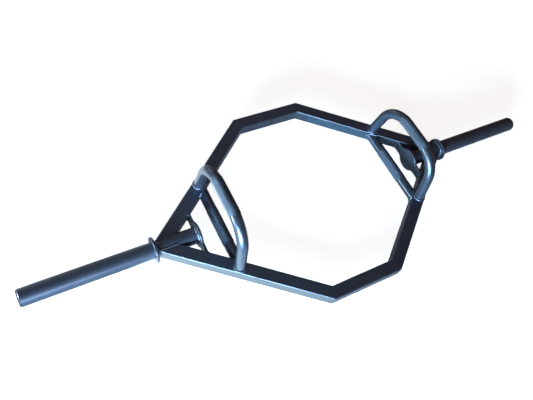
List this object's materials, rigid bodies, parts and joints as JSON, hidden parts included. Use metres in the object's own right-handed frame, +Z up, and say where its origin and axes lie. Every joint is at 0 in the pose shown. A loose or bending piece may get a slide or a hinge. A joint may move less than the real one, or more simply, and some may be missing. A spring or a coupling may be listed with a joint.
{
  "type": "hex trap bar",
  "caption": "Hexagonal welded steel lifting bar to stand inside, with a plate sleeve at each tip and both a low knurled grip and a raised knurled handle at each hand.",
  "frame": {"origin": "middle of the bar, at the height of the flanges' lowest point", "axes": "+X along the sleeves to the right, +Y to the back, +Z up with the raised handles on top"},
  "size_m": [1.8, 0.684, 0.2343],
  "materials": {
    "frame_coat": "dark navy-black satin powder coat",
    "sleeve_coat": "dark satin powder coat, lightly rubbed by plates",
    "grip_coat": "dark semi-gloss coat over knurled tube",
    "weld_coat": "coated weld bead, semi-gloss",
    "plug_plastic": "black moulded plastic"
  },
  "bodies": {
    "root": {"boss_weld_left": "weld_coat", "boss_weld_right": "weld_coat", "brace_plate_left": "frame_coat", "brace_plate_right": "frame_coat", "brace_welds_left_back": "weld_coat", "brace_welds_left_front": "weld_coat", "brace_welds_right_back": "weld_coat", "brace_welds_right_front": "weld_coat", "flange_left": "frame_coat", "flange_right": "frame_coat", "flange_weld_left": "weld_coat", "flange_weld_right": "weld_coat", "foot_weld_left_back": "weld_coat", "foot_weld_left_front": "weld_coat", "foot_weld_right_back": "weld_coat", "foot_weld_right_front": "weld_coat", "frame_arm_left_back": "frame_coat", "frame_arm_left_front": "frame_coat", "frame_arm_right_back": "frame_coat", "frame_arm_right_front": "frame_coat", "frame_side_back": "frame_coat", "frame_side_front": "frame_coat", "low_grip_left": "grip_coat", "low_grip_right": "grip_coat", "low_grip_weld_left_back": "weld_coat", "low_grip_weld_left_front": "weld_coat", "low_grip_weld_right_back": "weld_coat", "low_grip_weld_right_front": "weld_coat", "raised_handle_left": "grip_coat", "raised_handle_right": "grip_coat", "sleeve_left": "sleeve_coat", "sleeve_plug_left": "plug_plastic", "sleeve_plug_right": "plug_plastic", "sleeve_right": "sleeve_coat", "tip_welds_left": "weld_coat", "tip_welds_right": "weld_coat"}
  },
  "joints": []
}
